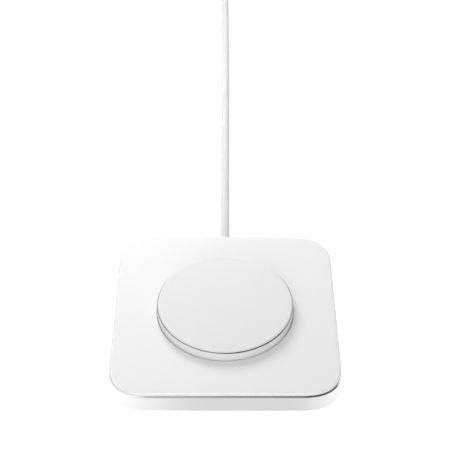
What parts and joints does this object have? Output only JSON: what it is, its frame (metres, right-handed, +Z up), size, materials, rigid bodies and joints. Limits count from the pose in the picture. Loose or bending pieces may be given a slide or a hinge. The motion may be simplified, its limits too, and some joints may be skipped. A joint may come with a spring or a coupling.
{
  "type": "wireless charging pad",
  "caption": "Low square desk pad with soft corners and a glass top in a polished chamfered trim, a raised round magnetic charging puck in the middle and a captive cord with a small plug.",
  "frame": {"origin": "on the desk, under the middle of the square pad, measured without the cord", "axes": "+Z up out of the charging face, +Y from the pad towards the side where the cord leaves, +X to the right seen from the front"},
  "size_m": [0.102, 0.4209, 0.0157],
  "materials": {
    "satin_silver": "fine bead-blasted satin silver",
    "polished_steel": "polished",
    "white_backed_glass": "glossy glass, painted white on its back",
    "soft_white_polymer": "satin moulded white",
    "white_cord_sheath": "fine white woven sheath",
    "grey_rubber": "matte",
    "zinc_steel": "zinc plated",
    "nickel_plate": "satin nickel",
    "nickelled_magnet": "nickel plated",
    "enamelled_copper": "wound enamelled wire",
    "ferrite": "sintered, matte",
    "green_laminate": "solder mask",
    "black_epoxy": "moulded",
    "adhesive_film": "film"
  },
  "bodies": {
    "root": {"chassis": "satin_silver", "base_plate": "satin_silver", "edge_trim": "polished_steel", "puck_ring": "polished_steel", "top_panel": "white_backed_glass", "puck_housing": "soft_white_polymer", "puck_face": "soft_white_polymer", "strain_relief": "soft_white_polymer", "plug_body": "soft_white_polymer", "board_connector": "soft_white_polymer", "cord_run": "white_cord_sheath", "cord_coil": "white_cord_sheath", "cord_tail": "white_cord_sheath", "foot_pad": "grey_rubber", "power_lead": "grey_rubber", "cord_tie": "grey_rubber", "ballast_plate": "zinc_steel", "magnet_yoke": "zinc_steel", "crimp_collar": "zinc_steel", "base_screw_1": "zinc_steel", "base_screw_2": "zinc_steel", "base_screw_3": "zinc_steel", "base_screw_4": "zinc_steel", "puck_screw_1": "zinc_steel", "puck_screw_2": "zinc_steel", "puck_screw_3": "zinc_steel", "board_screw_1": "zinc_steel", "board_screw_2": "zinc_steel", "plug_shell": "nickel_plate", "shield_can": "nickel_plate", "magnet_01": "nickelled_magnet", "magnet_02": "nickelled_magnet", "magnet_03": "nickelled_magnet", "magnet_04": "nickelled_magnet", "magnet_05": "nickelled_magnet", "magnet_06": "nickelled_magnet", "magnet_07": "nickelled_magnet", "magnet_08": "nickelled_magnet", "magnet_09": "nickelled_magnet", "magnet_10": "nickelled_magnet", "magnet_11": "nickelled_magnet", "magnet_12": "nickelled_magnet", "magnet_13": "nickelled_magnet", "magnet_14": "nickelled_magnet", "magnet_15": "nickelled_magnet", "magnet_16": "nickelled_magnet", "charging_coil": "enamelled_copper", "ferrite_shield": "ferrite", "power_inductor": "ferrite", "circuit_board": "green_laminate", "puck_board": "green_laminate", "antenna_ring": "green_laminate", "controller_chip": "black_epoxy", "power_chip": "black_epoxy", "temperature_sensor": "black_epoxy", "plug_insert": "black_epoxy", "panel_adhesive": "adhesive_film", "puck_ribbon": "adhesive_film", "capacitor_1": "adhesive_film", "capacitor_2": "adhesive_film"}
  },
  "joints": []
}
